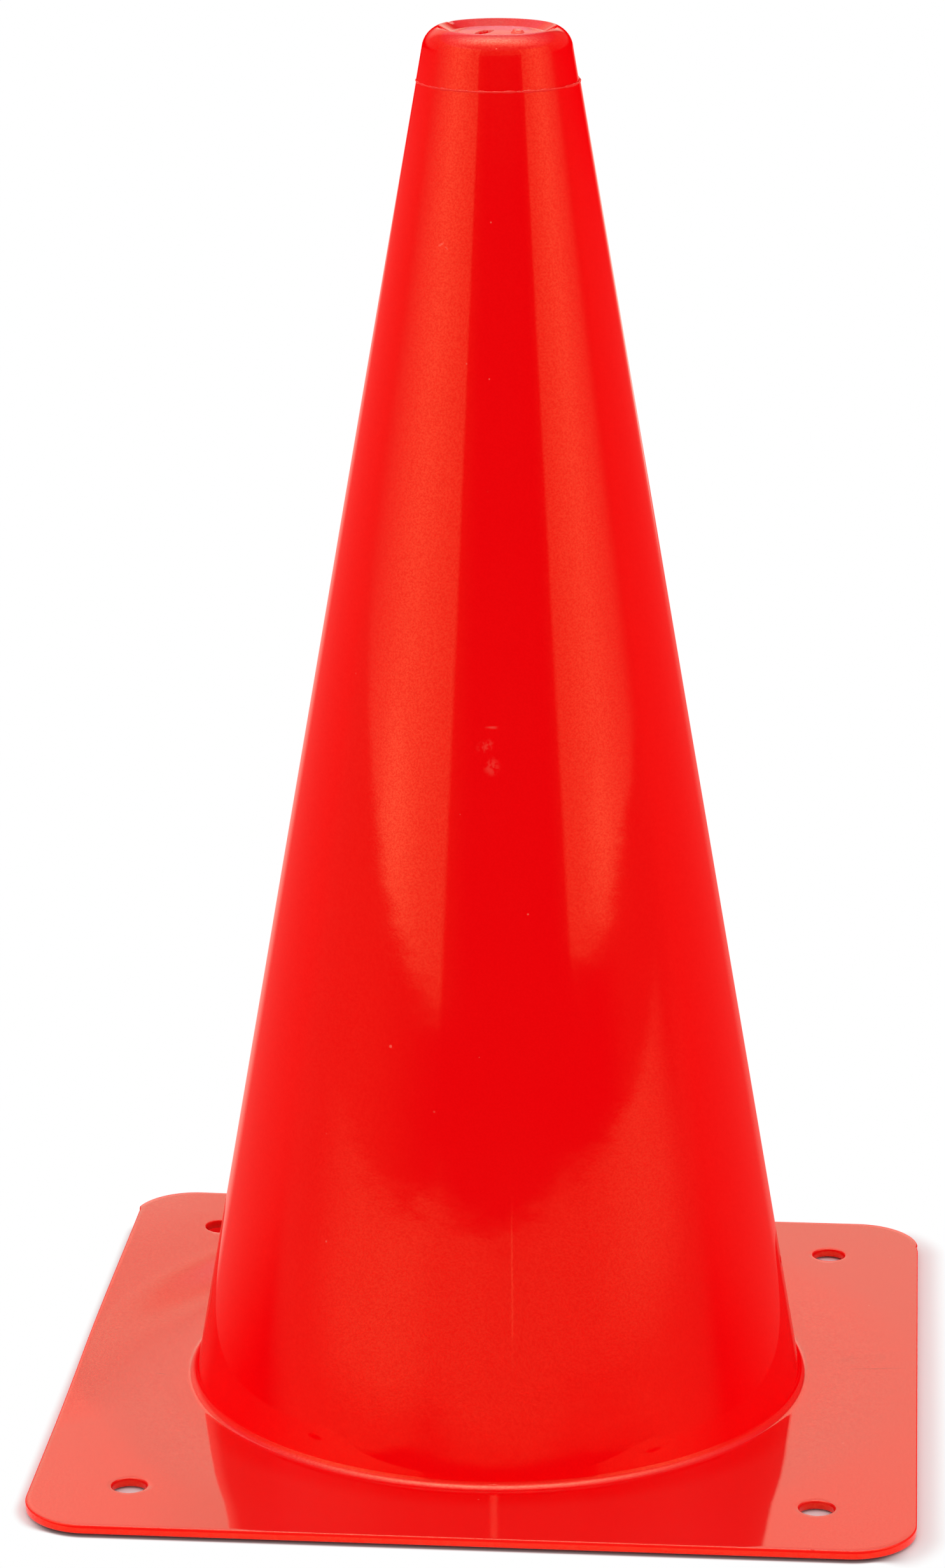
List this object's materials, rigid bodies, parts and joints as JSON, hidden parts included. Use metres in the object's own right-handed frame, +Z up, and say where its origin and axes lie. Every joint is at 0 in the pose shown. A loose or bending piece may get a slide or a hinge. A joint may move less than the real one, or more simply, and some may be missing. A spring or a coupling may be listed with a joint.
{
  "type": "training cone",
  "caption": "Hollow tapered training cone with a dished, round-rimmed crown on a thin square foot plate with a peg hole near each rounded corner.",
  "frame": {"origin": "on the ground under the cone's axis, at the middle of the foot plate's underside", "axes": "+Z up along the cone's axis; X and Y square to the foot plate's straight edges, with -Y towards the viewer of the picture"},
  "size_m": [0.2364, 0.2364, 0.381],
  "materials": {
    "moulded_red": "gloss"
  },
  "bodies": {
    "root": {"crown": "moulded_red", "cone_wall": "moulded_red", "base_plate": "moulded_red"}
  },
  "joints": []
}
